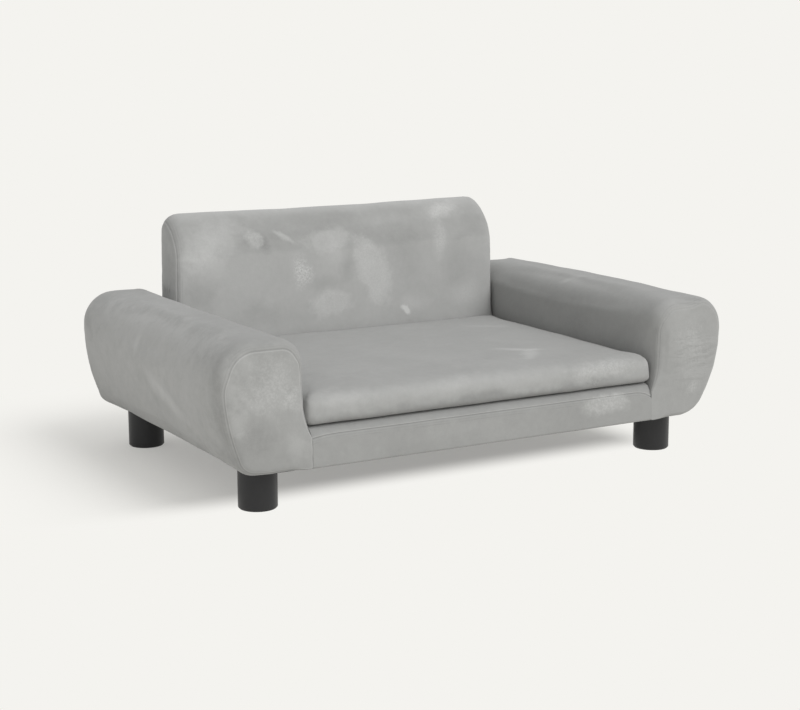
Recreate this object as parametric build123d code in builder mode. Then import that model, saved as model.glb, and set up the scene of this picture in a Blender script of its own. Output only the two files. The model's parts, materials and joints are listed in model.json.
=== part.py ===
"""A small upholstered pet sofa: two padded arms and a padded backrest bolted round a low seat box,
a loose seat cushion with a zip, and four round plastic legs.

Millimetres. X runs to the right, Y to the back and Z up. The origin is on the floor, under the
middle of the sofa's box.
"""

from build123d import *
import os
from math import atan, cos, degrees, radians, sin, sqrt

os.makedirs("parts", exist_ok=True)

# Overall size
WIDTH = 700
DEPTH = 450
HEIGHT = 300
UNDERSIDE = 51

# Layers of the upholstery
VELVET = 1.6
EASE = 0.3
DUST_SHEET = 0.8
DUST_MARGIN = 8
BEVEL_SHARE = 0.85
OUTER_TURNS = (0, 45, 90)
INNER_TURNS = (0, 90)

# Arm outline, seen from the front
ARM_TOP = 202.5
ARM_THICK = 103.5
ARM_FOOT = 112
ARM_OUTER_SHOULDER = 42
ARM_INNER_SHOULDER = 30
ARM_HEEL = 36
ARM_BOW = 200
FLARE_TOP = 126
FLARE_LOW = 88
ARM_EDGE = 12
ARM_LOW_EDGE_SHARE = 0.4
ARM_FOAM = 10

# Arm frame
ARM_BOARD = 12
ARM_LINER = 3
BAY_HEIGHT = 32
BOLT_RAIL = 12
LEG_BLOCK_THICK = 18
LEG_BLOCK_LONG = 90
BATTEN_WIDE = 24
BATTEN_THICK = 20
SIDE_BATTEN_HEIGHT = 122
ARM_HEM = 16
ARM_HEM_PAST_LEG = 10

# Seat box
DECK_TOP = 98.5
BOX_EDGE = 10
BOX_LOW_EDGE = 4
BOX_FOAM = 6
BOX_RAIL = 15
DECK_BOARD = 5
BEARER_SHARE = 0.3
CORNER_BLOCK = 28
CORNER_BLOCK_TALL = 26
BOX_HEM = 25

# Backrest
BACK_THICK = 60
BACK_SETBACK = 15
BACK_TAPER = 4
BACK_CORNER = 28
BACK_ROLL_SHARES = (0.5, 0.75)
BACK_FRONT_EDGE = 12
BACK_REAR_EDGE = 10
BACK_FRONT_FOAM = 28
BACK_REAR_FOAM = 4
BACK_SIDE_FOAM = 10
BACK_POST = 42
BACK_RAIL = 30
BACK_PANEL = 3

# Seat cushion
CUSHION_SETBACK = 5
CUSHION_SIDE_GAP = 1.5
CUSHION_THICK = 38.2
CUSHION_CROWN = 3.5
CROWN_START = 24
CROWN_RUN = 66
CROWN_SHARES = ((0, 0), (0.4, 0.64), (1, 1))
CUSHION_DRAW = 3
CUSHION_FRONT_CORNER = 30
CUSHION_REAR_CORNER = 24
CUSHION_TOP_EDGE = 18
CUSHION_LOW_EDGE = 15

# Zip in the cushion's rear edge
ZIP_LONG = 300
GROOVE_TALL = 12
GROOVE_DEEP = 7
COIL_WIDE = 6
COIL_THICK = 2.8
TAPE_WIDE = 4.3
TAPE_THICK = 0.8
SLOT_TALL = 10.4
SLIDER_LONG = 12
SLIDER_PLATE = 1.5
SLIDER_PLAY = 0.25
SLIDER_CORNER = 3
STOP_LONG = 2.5
STOP_PROUD = 0.8

# Legs
LEG_DIAMETER = 45.8
LEG_FROM_SIDE = 67.5
LEG_FROM_FRONT = 55.2
LEG_FROM_REAR = 49.5
GLIDE_THICK = 1
GLIDE_DIAMETER = 42.6

# Fasteners: M8 leg bolts, M6 frame bolts and the tee nuts that take them, drawn with flats
ROUND_SIDES = 12
THREAD_PLAY = 0.05
HOLE_PLAY = 0.3
LEG_BOLT = 8
LEG_BOLT_IN_LEG = 22
FRAME_BOLT = 6
BOLT_HEAD = 12
BOLT_HEAD_TALL = 4
WASHER = 18
WASHER_THICK = 1.6
TEE_FLANGE = 19
TEE_FLANGE_THICK = 1.5
TEE_BARREL_WALL = 1
TEE_BARREL_LONG = 9
ARM_BOLT_FROM_BLOCK = 21
BACK_BOLT_SHARES = (-0.66, 0.66)

# Places worked out from the sizes above
side = WIDTH / 2
front = -DEPTH / 2
rear = DEPTH / 2
foot = side - ARM_FOOT
inner = side - ARM_THICK
skin = VELVET + EASE
back_rear = rear - BACK_SETBACK
box_rear = back_rear - BACK_THICK
low = UNDERSIDE + skin
bay_top = low + BAY_HEIGHT
bolt_height = low + BAY_HEIGHT / 2
dust_low = UNDERSIDE - DUST_SHEET
widest = ARM_TOP - ARM_OUTER_SHOULDER
leg_x = side - LEG_FROM_SIDE
arm_core = skin + ARM_FOAM
bay_side = foot + skin
arm_room = DEPTH - 2 * (arm_core + ARM_BOARD)
block_ends = (front + arm_core + ARM_BOARD, rear - arm_core - ARM_BOARD)


def save(piece, name):
    """Labels a finished piece and writes its file."""
    piece.part.label = name
    export_step(piece.part, f"parts/{name}.step")


def save_pair(piece, stem):
    """Writes a right-hand piece of an arm or the box, and its mirror image for the left."""
    save(piece, stem.format("right"))
    with BuildPart() as other:
        add(piece.part)
        mirror(about=Plane.YZ, mode=Mode.REPLACE)
    save(other, stem.format("left"))


# Forms that several layers share


def rim_steps(radius, inset):
    """How far in and how far back each outline round an edge lies, from the side to the end face.

    An outer form turns its edge in several flats; the forms inside are bevelled, as cut foam is.
    """
    if inset:
        reach = (radius - inset) * BEVEL_SHARE
        turns = INNER_TURNS
    else:
        reach = radius
        turns = OUTER_TURNS
    return [(reach * (1 - cos(radians(turn))), reach * (1 - sin(radians(turn)))) for turn in turns]


def heel_start(soft, bottom):
    """Where the arm's flat bottom ends and its round heel begins, with the outline drawn in."""
    rise = widest - bottom - ARM_HEEL + soft
    return side - ARM_BOW + sqrt((ARM_BOW - ARM_HEEL) ** 2 - rise**2)


def arm_section(y, inset=0.0, turned=0.0):
    """The right arm's outline in the upright plane at y, drawn in by inset.

    Round the arm's ends it is turned in further, but not at the foot, which meets the seat box.
    """
    soft = inset + turned
    bottom = UNDERSIDE + inset + turned * ARM_LOW_EDGE_SHARE
    heel_radius = ARM_HEEL - soft
    heel_x = heel_start(soft, bottom)
    heel_share = heel_radius / (ARM_BOW - ARM_HEEL)
    heel_end = (
        heel_x + (heel_x - side + ARM_BOW) * heel_share,
        bottom + heel_radius - (widest - bottom - heel_radius) * heel_share,
    )
    outer_shoulder = side - ARM_OUTER_SHOULDER
    inner_shoulder = inner + ARM_INNER_SHOULDER
    top = ARM_TOP - soft
    with BuildSketch(Plane.XZ.offset(-y)) as section:
        with BuildLine():
            Line((foot + inset, bottom), (heel_x, bottom))
            TangentArc((heel_x, bottom), heel_end, tangent=(1, 0))
            TangentArc(heel_end, (side - soft, widest), tangent=(0, -1), tangent_from_first=False)
            TangentArc((side - soft, widest), (outer_shoulder, top), tangent=(0, 1))
            Line((outer_shoulder, top), (inner_shoulder, top))
            TangentArc(
                (inner_shoulder, top), (inner + soft, ARM_TOP - ARM_INNER_SHOULDER), tangent=(-1, 0)
            )
            Line((inner + soft, ARM_TOP - ARM_INNER_SHOULDER), (inner + soft, FLARE_TOP))
            TangentArc((inner + soft, FLARE_TOP), (foot + inset, FLARE_LOW), tangent=(0, -1))
            Line((foot + inset, FLARE_LOW), (foot + inset, bottom))
        make_face()
    return section.sketch


def arm_form(inset):
    """The whole right arm with its round front and rear edges, drawn in by inset."""
    steps = rim_steps(ARM_EDGE, inset)
    near = [arm_section(front + inset + back, inset, turned) for turned, back in reversed(steps)]
    far = [arm_section(rear - inset - back, inset, turned) for turned, back in steps]
    with BuildPart() as form:
        loft(sections=near + far, ruled=True)
    return form.part


def arm_core_section(y):
    """The room inside the arm's foam: the inset outline and the bay for its bolt rail."""
    with BuildSketch(Plane.XZ.offset(-y)) as section:
        add(arm_section(y, arm_core))
        with Locations(((bay_side + heel) / 2, (low + bay_top) / 2)):
            Rectangle(heel - bay_side, BAY_HEIGHT)
    return section.sketch


def box_form(inset):
    """The seat box with its soft front edges, drawn in by inset."""
    with BuildPart() as form:
        with BuildSketch(Plane.YZ.offset(inset - foot)) as profile:
            with Locations(((front + box_rear) / 2, (UNDERSIDE + DECK_TOP) / 2)):
                Rectangle(box_rear - front - 2 * inset, DECK_TOP - UNDERSIDE - 2 * inset)
            before = profile.vertices().group_by(Axis.X)[0].sort_by(Axis.Y)
            fillet(before[-1], radius=BOX_EDGE - inset)
            fillet(before[0], radius=BOX_LOW_EDGE - inset)
        extrude(amount=2 * (foot - inset))
    return form.part


def back_section(y, inset=0.0, turned=0.0, drop=0.0):
    """The backrest's outline in the upright plane at y, drawn in by inset and turned in further.

    It follows the arms' flare below, and its top lies lower by drop.
    """
    soft = inset + turned
    foot_half = foot - EASE - soft
    half = inner - EASE - soft
    top = HEIGHT - inset - drop
    with BuildSketch(Plane.XZ.offset(-y)) as section:
        with BuildLine():
            Line((0, UNDERSIDE + inset), (foot_half, UNDERSIDE + inset))
            Line((foot_half, UNDERSIDE + inset), (foot_half, FLARE_LOW))
            TangentArc((half, FLARE_TOP), (foot_half, FLARE_LOW), tangent=(0, -1))
            Line((half, FLARE_TOP), (half - BACK_TAPER, top))
            Line((half - BACK_TAPER, top), (0, top))
            mirror(about=Plane.YZ)
        make_face()
        fillet(section.vertices().group_by(Axis.Y)[-1], radius=BACK_CORNER - soft)
    return section.sketch


def back_form(inset):
    """The whole backrest, its front rolled over at the top, drawn in by inset."""
    near = box_rear + inset
    rear_rim = [
        (back_rear - inset - back, turned) for turned, back in rim_steps(BACK_REAR_EDGE, inset)
    ]
    roll = rear_rim[0][0] - near
    front_rim = [(back, turned) for turned, back in reversed(rim_steps(BACK_FRONT_EDGE, inset))]
    front_rim += [(roll * share, 0) for share in BACK_ROLL_SHARES]
    sections = [
        back_section(near + back, inset, turned, roll - sqrt(roll**2 - (roll - back) ** 2))
        for back, turned in front_rim
    ]
    sections += [back_section(y, inset, turned, turned) for y, turned in rear_rim]
    with BuildPart() as form:
        loft(sections=sections, ruled=True)
    return form.part


def cushion_plan(height, inset, turned, rounded=True):
    """The cushion's outline from above at that height, with its drawn-in sides, turned in."""
    half = inner - CUSHION_SIDE_GAP
    near = front + CUSHION_SETBACK
    far = box_rear - EASE
    middle = (near + far) / 2
    soft = inset + turned
    with BuildSketch(Plane.XY.offset(height)) as plan:
        with BuildLine():
            Polyline(
                (0, near + CUSHION_DRAW),
                (half, near),
                (half - CUSHION_DRAW, middle),
                (half, far),
                (0, far - CUSHION_DRAW),
                (-half, far),
                (CUSHION_DRAW - half, middle),
                (-half, near),
                close=True,
            )
        make_face()
        if soft:
            offset(amount=-soft, kind=Kind.INTERSECTION, mode=Mode.REPLACE)
        if rounded:
            fillet(plan.vertices().group_by(Axis.Y)[0], radius=CUSHION_FRONT_CORNER - soft)
            fillet(plan.vertices().group_by(Axis.Y)[-1], radius=CUSHION_REAR_CORNER - soft)
    return plan.sketch


def cushion_form(inset):
    """The loose seat cushion: round edges, drawn-in sides and a crowned top, drawn in by inset."""
    base = DECK_TOP + EASE + inset
    shoulder = DECK_TOP + EASE + CUSHION_THICK - CUSHION_CROWN - inset
    low_steps = rim_steps(CUSHION_LOW_EDGE, inset)
    top_steps = rim_steps(CUSHION_TOP_EDGE, inset)
    body = [cushion_plan(base + rise, inset, turned) for turned, rise in reversed(low_steps)]
    body += [cushion_plan(shoulder - rise, inset, turned) for turned, rise in top_steps]
    with BuildPart() as form:
        loft(sections=body, ruled=True)
        for (run, rise), (run_on, rise_on) in zip(CROWN_SHARES, CROWN_SHARES[1:]):
            extrude(
                cushion_plan(
                    shoulder + CUSHION_CROWN * rise, inset, CROWN_START + CROWN_RUN * run, False
                ),
                amount=CUSHION_CROWN * (rise_on - rise),
                taper=degrees(atan(CROWN_RUN * (run_on - run) / CUSHION_CROWN / (rise_on - rise))),
            )
    return form.part


def block(low_corner, high_corner):
    """A board or batten with square edges, given by two opposite corners."""
    with BuildPart() as board:
        with BuildSketch(Plane.XY.offset(low_corner[2])):
            with Locations(
                ((low_corner[0] + high_corner[0]) / 2, (low_corner[1] + high_corner[1]) / 2)
            ):
                Rectangle(high_corner[0] - low_corner[0], high_corner[1] - low_corner[1])
        extrude(amount=high_corner[2] - low_corner[2])
    return board.part


def rods(plane, places, diameter, length):
    """Fastener shanks, heads or rings of one size, standing on the plane at the places."""
    with BuildPart() as bars:
        with BuildSketch(plane):
            with Locations(*places):
                RegularPolygon(diameter / 2, side_count=ROUND_SIDES)
        extrude(amount=length)
    return bars.part


def bores(plane, places, diameter, length):
    """The holes that take such shanks: their flats lie just clear of a round bar."""
    with BuildPart() as holes:
        with BuildSketch(plane):
            with Locations(*places):
                RegularPolygon(diameter / 2, side_count=ROUND_SIDES, major_radius=False)
        extrude(amount=length)
    return holes.part


def tee_nuts(plane, places, thread):
    """Tee nuts whose flanges stand on the plane and whose barrels go down through it."""
    bore = thread + 2 * THREAD_PLAY
    with BuildPart() as nuts:
        add(rods(plane, places, TEE_FLANGE, TEE_FLANGE_THICK))
        add(rods(plane, places, bore + 2 * TEE_BARREL_WALL, -TEE_BARREL_LONG))
        add(
            bores(
                plane.offset(TEE_FLANGE_THICK), places, bore, -TEE_FLANGE_THICK - TEE_BARREL_LONG
            ),
            mode=Mode.SUBTRACT,
        )
    return nuts


# Places of the fasteners
heel = heel_start(0, UNDERSIDE)
leg_places = {
    "front_left": (-leg_x, front + LEG_FROM_FRONT),
    "front_right": (leg_x, front + LEG_FROM_FRONT),
    "rear_left": (-leg_x, rear - LEG_FROM_REAR),
    "rear_right": (leg_x, rear - LEG_FROM_REAR),
}
right_legs = [place for place in leg_places.values() if place[0] > 0]
arm_bolt_rows = [
    (block_ends[0] + LEG_BLOCK_LONG + ARM_BOLT_FROM_BLOCK, bolt_height),
    (block_ends[1] - LEG_BLOCK_LONG - ARM_BOLT_FROM_BLOCK, bolt_height),
]
back_bolt_row = [(foot * share, bolt_height) for share in BACK_BOLT_SHARES]
bolt_hole = FRAME_BOLT + 2 * HOLE_PLAY
leg_hole = LEG_BOLT + 2 * HOLE_PLAY
frame_barrel = FRAME_BOLT + 2 * (2 * THREAD_PLAY + TEE_BARREL_WALL)
leg_barrel = LEG_BOLT + 2 * (2 * THREAD_PLAY + TEE_BARREL_WALL)
bolt_face = foot - skin - BOX_RAIL
tee_face = bay_side + BOLT_RAIL
back_bolt_face = box_rear - skin - BOX_RAIL
back_core_front = box_rear + skin + BACK_FRONT_FOAM
back_core_rear = back_rear - skin - BACK_REAR_FOAM
arm_bolt_holes = bores(
    Plane.YZ.offset(bolt_face), arm_bolt_rows, bolt_hole, bay_side - bolt_face
)
back_bolt_holes = bores(
    Plane.XZ.offset(-back_bolt_face), back_bolt_row, bolt_hole, back_bolt_face - box_rear - skin
)
leg_holes = bores(Plane.XY, right_legs, leg_hole, bay_top)

# Arms
leg_block_top = low + LEG_BLOCK_THICK

for board_name, board_front in (
    ("arm_{}_front_board", front + arm_core),
    ("arm_{}_rear_board", rear - arm_core - ARM_BOARD),
):
    with BuildPart() as profile_board:
        extrude(arm_core_section(board_front + ARM_BOARD), amount=ARM_BOARD)
    save_pair(profile_board, board_name)

with BuildPart() as bolt_rail:
    add(block((bay_side, block_ends[0], low), (tee_face, block_ends[1], bay_top)))
    add(
        bores(Plane.YZ.offset(tee_face), arm_bolt_rows, frame_barrel, -BOLT_RAIL),
        mode=Mode.SUBTRACT,
    )
save_pair(bolt_rail, "arm_{}_bolt_rail")

with BuildPart() as leg_blocks:
    for start in (block_ends[0], block_ends[1] - LEG_BLOCK_LONG):
        add(block((tee_face, start, low), (heel, start + LEG_BLOCK_LONG, leg_block_top)))
    add(
        bores(Plane.XY.offset(leg_block_top), right_legs, leg_barrel, -LEG_BLOCK_THICK),
        mode=Mode.SUBTRACT,
    )
save_pair(leg_blocks, "arm_{}_leg_blocks")

with BuildPart() as liner:
    extrude(arm_section(block_ends[1], arm_core), amount=arm_room)
    extrude(
        arm_section(block_ends[1], arm_core + ARM_LINER), amount=arm_room, mode=Mode.SUBTRACT
    )
    add(block((0, front, 0), (heel, rear, bay_top)), mode=Mode.SUBTRACT)
save_pair(liner, "arm_{}_liner")

top_middle = (inner + ARM_INNER_SHOULDER + side - ARM_OUTER_SHOULDER) / 2
top_face = ARM_TOP - arm_core - ARM_LINER
with BuildPart() as top_batten:
    add(
        block(
            (top_middle - BATTEN_WIDE / 2, block_ends[0], top_face - BATTEN_THICK),
            (top_middle + BATTEN_WIDE / 2, block_ends[1], top_face),
        )
    )
save_pair(top_batten, "arm_{}_top_batten")

side_face = side - arm_core - ARM_LINER
with BuildPart() as side_batten:
    add(
        block(
            (side_face - BATTEN_THICK, block_ends[0], SIDE_BATTEN_HEIGHT - BATTEN_WIDE / 2),
            (side_face, block_ends[1], SIDE_BATTEN_HEIGHT + BATTEN_WIDE / 2),
        )
    )
    extrude(
        arm_section(block_ends[1], arm_core + ARM_LINER), amount=arm_room, mode=Mode.INTERSECT
    )
save_pair(side_batten, "arm_{}_side_batten")

with BuildPart() as arm_foam:
    add(arm_form(skin))
    extrude(
        arm_core_section(rear - arm_core), amount=DEPTH - 2 * arm_core, mode=Mode.SUBTRACT
    )
save_pair(arm_foam, "arm_{}_foam")

with BuildPart() as arm_cover:
    add(arm_form(0))
    add(arm_form(VELVET), mode=Mode.SUBTRACT)
    add(arm_bolt_holes, mode=Mode.SUBTRACT)
    add(
        block(
            (foot + ARM_HEM, front + ARM_HEM, 0),
            (leg_x + ARM_HEM_PAST_LEG, rear - ARM_HEM, low),
        ),
        mode=Mode.SUBTRACT,
    )
save_pair(arm_cover, "arm_{}_cover")

with BuildPart() as arm_dust_sheet:
    add(
        block(
            (foot + DUST_MARGIN, front + DUST_MARGIN, dust_low),
            (heel - EASE, rear - DUST_MARGIN, UNDERSIDE),
        )
    )
    add(leg_holes, mode=Mode.SUBTRACT)
save_pair(arm_dust_sheet, "arm_{}_dust_sheet")

# Seat box
box_front_face = front + skin + BOX_FOAM
rail_side = foot - skin
rail_rear = box_rear - skin
deck_face = DECK_TOP - skin - BOX_FOAM
rail_top = deck_face - DECK_BOARD
rail_inside = rail_side - BOX_RAIL
front_rail_inside = box_front_face + BOX_RAIL
rear_rail_inside = rail_rear - BOX_RAIL

with BuildPart() as box_side_rail:
    add(block((rail_inside, box_front_face, low), (rail_side, rail_rear, rail_top)))
    add(arm_bolt_holes, mode=Mode.SUBTRACT)
save_pair(box_side_rail, "box_{}_rail")

with BuildPart() as box_front_rail:
    add(block((-rail_inside, box_front_face, low), (rail_inside, front_rail_inside, rail_top)))
save(box_front_rail, "box_front_rail")

with BuildPart() as box_rear_rail:
    add(block((-rail_inside, rear_rail_inside, low), (rail_inside, rail_rear, rail_top)))
    add(back_bolt_holes, mode=Mode.SUBTRACT)
save(box_rear_rail, "box_rear_rail")

with BuildPart() as box_bearers:
    for middle in (-foot * BEARER_SHARE, foot * BEARER_SHARE):
        add(
            block(
                (middle - BOX_RAIL / 2, front_rail_inside, low),
                (middle + BOX_RAIL / 2, rear_rail_inside, rail_top),
            )
        )
save(box_bearers, "box_bearers")

with BuildPart() as box_corner_blocks:
    with BuildSketch(Plane.XY.offset(rail_top - CORNER_BLOCK_TALL)):
        for corner_y, turn in ((front_rail_inside, 1), (rear_rail_inside, -1)):
            with BuildLine():
                Polyline(
                    (rail_inside, corner_y),
                    (rail_inside, corner_y + turn * CORNER_BLOCK),
                    (rail_inside - CORNER_BLOCK, corner_y),
                    close=True,
                )
            make_face()
        mirror(about=Plane.YZ)
    extrude(amount=CORNER_BLOCK_TALL)
save(box_corner_blocks, "box_corner_blocks")

with BuildPart() as box_deck:
    add(block((-rail_side, box_front_face, rail_top), (rail_side, rail_rear, deck_face)))
    add(box_form(skin), mode=Mode.INTERSECT)
save(box_deck, "box_deck")

with BuildPart() as box_foam:
    add(box_form(skin))
    add(block((-side, box_front_face, 0), (side, rear, deck_face)), mode=Mode.SUBTRACT)
save(box_foam, "box_foam")

with BuildPart() as box_cover:
    add(box_form(0))
    add(box_form(VELVET), mode=Mode.SUBTRACT)
    add(
        block(
            (BOX_HEM - foot, front + BOX_HEM, 0), (foot - BOX_HEM, box_rear - BOX_HEM, low)
        ),
        mode=Mode.SUBTRACT,
    )
    add(back_bolt_holes, mode=Mode.SUBTRACT)
    add(arm_bolt_holes, mode=Mode.SUBTRACT)
    add(mirror(arm_bolt_holes, about=Plane.YZ, mode=Mode.PRIVATE), mode=Mode.SUBTRACT)
save(box_cover, "box_cover")

with BuildPart() as box_dust_sheet:
    add(
        block(
            (DUST_MARGIN - foot, front + DUST_MARGIN, dust_low),
            (foot - DUST_MARGIN, box_rear - DUST_MARGIN, UNDERSIDE),
        )
    )
save(box_dust_sheet, "box_dust_sheet")

# Backrest
back_inset = skin + BACK_SIDE_FOAM
back_frame_front = back_core_front + BACK_PANEL
back_frame_thick = back_core_rear - back_frame_front
back_frame_top = HEIGHT - back_inset
back_post_inside = inner - EASE - back_inset - BACK_POST
top_rail_low = back_frame_top - BACK_RAIL

with BuildPart() as back_bottom_rail:
    add(block((-foot, box_rear + skin, low), (foot, back_core_rear, bay_top)))
    add(back_form(skin), mode=Mode.INTERSECT)
    add(
        bores(
            Plane.XZ.offset(-back_core_rear),
            back_bolt_row,
            frame_barrel,
            back_core_rear - box_rear - skin,
        ),
        mode=Mode.SUBTRACT,
    )
save(back_bottom_rail, "back_bottom_rail")

with BuildPart() as back_posts:
    extrude(back_section(back_core_rear, back_inset), amount=back_frame_thick)
    add(block((-back_post_inside, 0, 0), (back_post_inside, rear, HEIGHT)), mode=Mode.SUBTRACT)
    add(block((-side, 0, 0), (side, rear, bay_top)), mode=Mode.SUBTRACT)
save(back_posts, "back_posts")

with BuildPart() as back_top_rail:
    add(
        block(
            (-back_post_inside, back_frame_front, top_rail_low),
            (back_post_inside, back_core_rear, back_frame_top),
        )
    )
save(back_top_rail, "back_top_rail")

with BuildPart() as back_middle_post:
    add(
        block(
            (-BACK_POST / 2, back_frame_front, bay_top),
            (BACK_POST / 2, back_core_rear, top_rail_low),
        )
    )
save(back_middle_post, "back_middle_post")

with BuildPart() as back_panel:
    extrude(back_section(back_frame_front, back_inset), amount=BACK_PANEL)
    add(block((-side, 0, 0), (side, rear, bay_top)), mode=Mode.SUBTRACT)
save(back_panel, "back_panel")

with BuildPart() as back_foam:
    add(back_form(skin))
    extrude(
        back_section(back_core_rear, back_inset),
        amount=back_core_rear - back_core_front,
        mode=Mode.SUBTRACT,
    )
    add(block((-side, 0, 0), (side, back_core_rear, bay_top)), mode=Mode.SUBTRACT)
    add(
        rods(
            Plane.XZ.offset(-back_core_rear),
            back_bolt_row,
            TEE_FLANGE + 2 * EASE,
            -TEE_FLANGE_THICK - EASE,
        ),
        mode=Mode.SUBTRACT,
    )
save(back_foam, "back_foam")

with BuildPart() as back_cover:
    add(back_form(0))
    add(back_form(VELVET), mode=Mode.SUBTRACT)
    add(back_bolt_holes, mode=Mode.SUBTRACT)
save(back_cover, "back_cover")

# Seat cushion and its zip, which lies along the middle of the upright part of the rear edge
cushion_rear = box_rear - EASE - CUSHION_DRAW / 2
edge_low = DECK_TOP + EASE + CUSHION_LOW_EDGE
edge_high = DECK_TOP + EASE + CUSHION_THICK - CUSHION_CROWN - CUSHION_TOP_EDGE
cushion_middle = (edge_low + edge_high) / 2
groove_floor = cushion_rear - GROOVE_DEEP
tape_rear = groove_floor - VELVET
coil_front = tape_rear - TAPE_THICK
coil_rear = coil_front + COIL_THICK


def zip_room(ends, depth, grown):
    """The slot for the zip in the cushion's rear edge, from depth outwards, grown all round."""
    return block(
        (-ends - grown, depth, cushion_middle - GROOVE_TALL / 2 - grown),
        (ends + grown, rear, cushion_middle + GROOVE_TALL / 2 + grown),
    )


with BuildPart() as cushion_foam:
    add(cushion_form(skin))
    add(zip_room(ZIP_LONG / 2, coil_front - EASE, skin), mode=Mode.SUBTRACT)
save(cushion_foam, "seat_cushion_foam")

with BuildPart() as cushion_hollow:
    add(cushion_form(VELVET))
    add(zip_room(ZIP_LONG / 2, tape_rear, VELVET), mode=Mode.SUBTRACT)

with BuildPart() as cushion_cover:
    add(cushion_form(0))
    add(zip_room(ZIP_LONG / 2, groove_floor, 0), mode=Mode.SUBTRACT)
    add(cushion_hollow.part, mode=Mode.SUBTRACT)
    add(
        block(
            (-ZIP_LONG / 2, coil_front, cushion_middle - SLOT_TALL / 2),
            (ZIP_LONG / 2, rear, cushion_middle + SLOT_TALL / 2),
        ),
        mode=Mode.SUBTRACT,
    )
save(cushion_cover, "seat_cushion_cover")

tape_inside = COIL_WIDE / 2
with BuildPart() as zip_tapes:
    for tape_low in (cushion_middle + tape_inside, cushion_middle - tape_inside - TAPE_WIDE):
        add(
            block(
                (-ZIP_LONG / 2, coil_front, tape_low),
                (ZIP_LONG / 2, tape_rear, tape_low + TAPE_WIDE),
            )
        )
save(zip_tapes, "zip_tapes")

coil_end = ZIP_LONG / 2 - STOP_LONG
with BuildPart() as zip_coil:
    add(
        block(
            (-coil_end, coil_front, cushion_middle - COIL_WIDE / 2),
            (coil_end, coil_rear, cushion_middle + COIL_WIDE / 2),
        )
    )
    fillet(zip_coil.edges().filter_by(Axis.X).sort_by(Axis.Y)[-2:], radius=COIL_THICK / 4)
save(zip_coil, "zip_coil")

stop_half = COIL_WIDE / 2 + STOP_PROUD
with BuildPart() as zip_stops:
    for stop_low in (-ZIP_LONG / 2, coil_end):
        add(
            block(
                (stop_low, tape_rear, cushion_middle - stop_half),
                (stop_low + STOP_LONG, coil_rear + STOP_PROUD, cushion_middle + stop_half),
            )
        )
save(zip_stops, "zip_stops")

channel_half = COIL_WIDE / 2 + SLIDER_PLAY
channel_top = coil_rear + SLIDER_PLAY
slider_middle = coil_end - EASE - SLIDER_LONG / 2
with BuildPart() as zip_slider:
    with BuildSketch(Plane.XZ.offset(-tape_rear - SLIDER_PLAY)) as slider_plan:
        with Locations((slider_middle, cushion_middle)):
            RectangleRounded(SLIDER_LONG, 2 * (channel_half + SLIDER_PLATE), SLIDER_CORNER)
    extrude(amount=tape_rear + SLIDER_PLAY - channel_top - SLIDER_PLATE)
    add(
        block(
            (coil_end - WIDTH, coil_front, cushion_middle - channel_half),
            (coil_end + WIDTH, channel_top, cushion_middle + channel_half),
        ),
        mode=Mode.SUBTRACT,
    )
save(zip_slider, "zip_slider")

# Legs, closed below by their glides, with a threaded socket above
leg_tall = dust_low - GLIDE_THICK
leg_socket = LEG_BOLT + 2 * THREAD_PLAY

for leg_name, leg_place in leg_places.items():
    with BuildPart() as leg:
        with BuildSketch(Plane.XY.offset(GLIDE_THICK)):
            with Locations(leg_place):
                Circle(LEG_DIAMETER / 2)
        extrude(amount=leg_tall)
        add(
            bores(Plane.XY.offset(dust_low), [leg_place], leg_socket, -LEG_BOLT_IN_LEG - EASE),
            mode=Mode.SUBTRACT,
        )
    save(leg, f"leg_{leg_name}")

with BuildPart() as leg_glides:
    with BuildSketch():
        with Locations(*leg_places.values()):
            Circle(GLIDE_DIAMETER / 2)
    extrude(amount=GLIDE_THICK)
save(leg_glides, "leg_glides")

# Leg bolts and tee nuts
with BuildPart() as leg_bolts:
    add(
        rods(
            Plane.XY.offset(dust_low - LEG_BOLT_IN_LEG),
            leg_places.values(),
            LEG_BOLT,
            leg_block_top + TEE_FLANGE_THICK - dust_low + LEG_BOLT_IN_LEG,
        )
    )
save(leg_bolts, "leg_bolts")
save(
    tee_nuts(Plane.XY.offset(leg_block_top), leg_places.values(), LEG_BOLT),
    "leg_tee_nuts",
)

# Bolts from the seat box into the arms, left and right in one node
head_face = bolt_face - WASHER_THICK
with BuildPart() as arm_washers:
    add(rods(Plane.YZ.offset(head_face), arm_bolt_rows, WASHER, WASHER_THICK))
    add(bores(Plane.YZ.offset(head_face), arm_bolt_rows, bolt_hole, WASHER_THICK), mode=Mode.SUBTRACT)
    mirror(about=Plane.YZ)
save(arm_washers, "arm_bolt_washers")

with BuildPart() as arm_bolts:
    add(rods(Plane.YZ.offset(head_face), arm_bolt_rows, BOLT_HEAD, -BOLT_HEAD_TALL))
    add(
        rods(
            Plane.YZ.offset(head_face),
            arm_bolt_rows,
            FRAME_BOLT,
            tee_face + TEE_FLANGE_THICK - head_face,
        )
    )
    mirror(about=Plane.YZ)
save(arm_bolts, "arm_bolts")

with BuildPart() as arm_tee_nuts:
    add(tee_nuts(Plane.YZ.offset(tee_face), arm_bolt_rows, FRAME_BOLT).part)
    mirror(about=Plane.YZ)
save(arm_tee_nuts, "arm_tee_nuts")

# Bolts from the seat box into the backrest
back_head_face = back_bolt_face - WASHER_THICK
back_head_plane = Plane.XZ.offset(-back_head_face)
with BuildPart() as back_washers:
    add(rods(back_head_plane, back_bolt_row, WASHER, -WASHER_THICK))
    add(bores(back_head_plane, back_bolt_row, bolt_hole, -WASHER_THICK), mode=Mode.SUBTRACT)
save(back_washers, "back_bolt_washers")

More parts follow.
